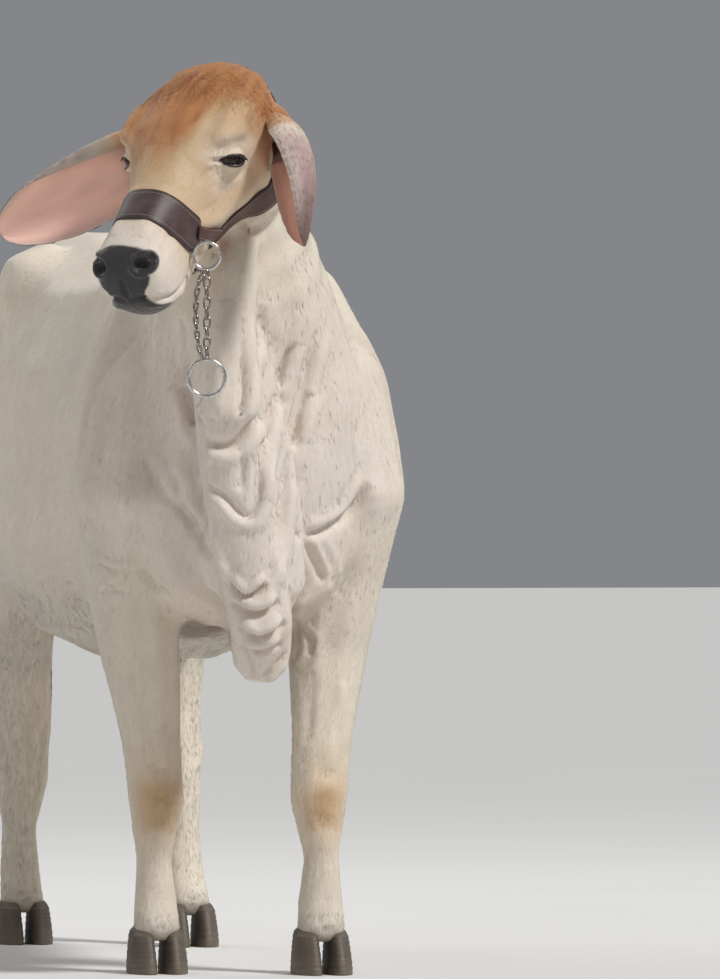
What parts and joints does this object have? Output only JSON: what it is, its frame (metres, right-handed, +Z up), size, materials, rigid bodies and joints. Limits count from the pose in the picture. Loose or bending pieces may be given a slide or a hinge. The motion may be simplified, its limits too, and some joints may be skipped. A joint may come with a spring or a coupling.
{
  "type": "brahman heifer",
  "caption": "Still life-size brahman heifer with a small hump, drooping ears and a folded dewlap, standing square with its head turned, in a leather and chain show halter.",
  "frame": {"origin": "on the ground below the middle of the animal's box", "axes": "+Z up, the animal faces -Y, its own left side is towards +X"},
  "size_m": [0.6944, 1.8628, 1.4796],
  "materials": {
    "coat": "short flat cream-white hair over loose skin, orange-brown on the poll, dark grey bare muzzle",
    "ear_skin": "fine short hair, pink skin showing inside, grey-mauve outside",
    "switch_hair": "long coarse dark hair",
    "hoof_horn": "dark ringed horn, worn at the sole",
    "eye": "wet, nearly black",
    "halter_leather": "dark brown strap leather, waxed, with worn edges",
    "halter_steel": "bright plated steel, a little dulled"
  },
  "bodies": {
    "root": {"head": "coat", "tail": "coat", "tail_switch": "switch_hair", "hump": "coat", "neck": "coat", "dewlap": "coat", "leg_front_left_lower": "coat", "leg_front_left_upper": "coat", "claw_front_left_inner": "hoof_horn", "claw_front_left_outer": "hoof_horn", "leg_front_right_lower": "coat", "leg_front_right_upper": "coat", "claw_front_right_outer": "hoof_horn", "claw_front_right_inner": "hoof_horn", "leg_hind_left_lower": "coat", "leg_hind_left_upper": "coat", "claw_hind_left_inner": "hoof_horn", "claw_hind_left_outer": "hoof_horn", "leg_hind_right_lower": "coat", "leg_hind_right_upper": "coat", "claw_hind_right_outer": "hoof_horn", "claw_hind_right_inner": "hoof_horn", "trunk": "coat", "ear_left": "ear_skin", "ear_right": "ear_skin", "eye_left": "eye", "cheek_ring_left": "halter_steel", "eye_right": "eye", "cheek_ring_right": "halter_steel", "crown_strap": "halter_leather", "jaw_chain": "halter_steel", "noseband": "halter_leather", "cheek_strap_left": "halter_leather", "keeper_left": "halter_leather", "cheek_strap_right": "halter_leather", "keeper_right": "halter_leather", "lead_chain": "halter_steel", "lead_ring": "halter_steel"}
  },
  "joints": []
}
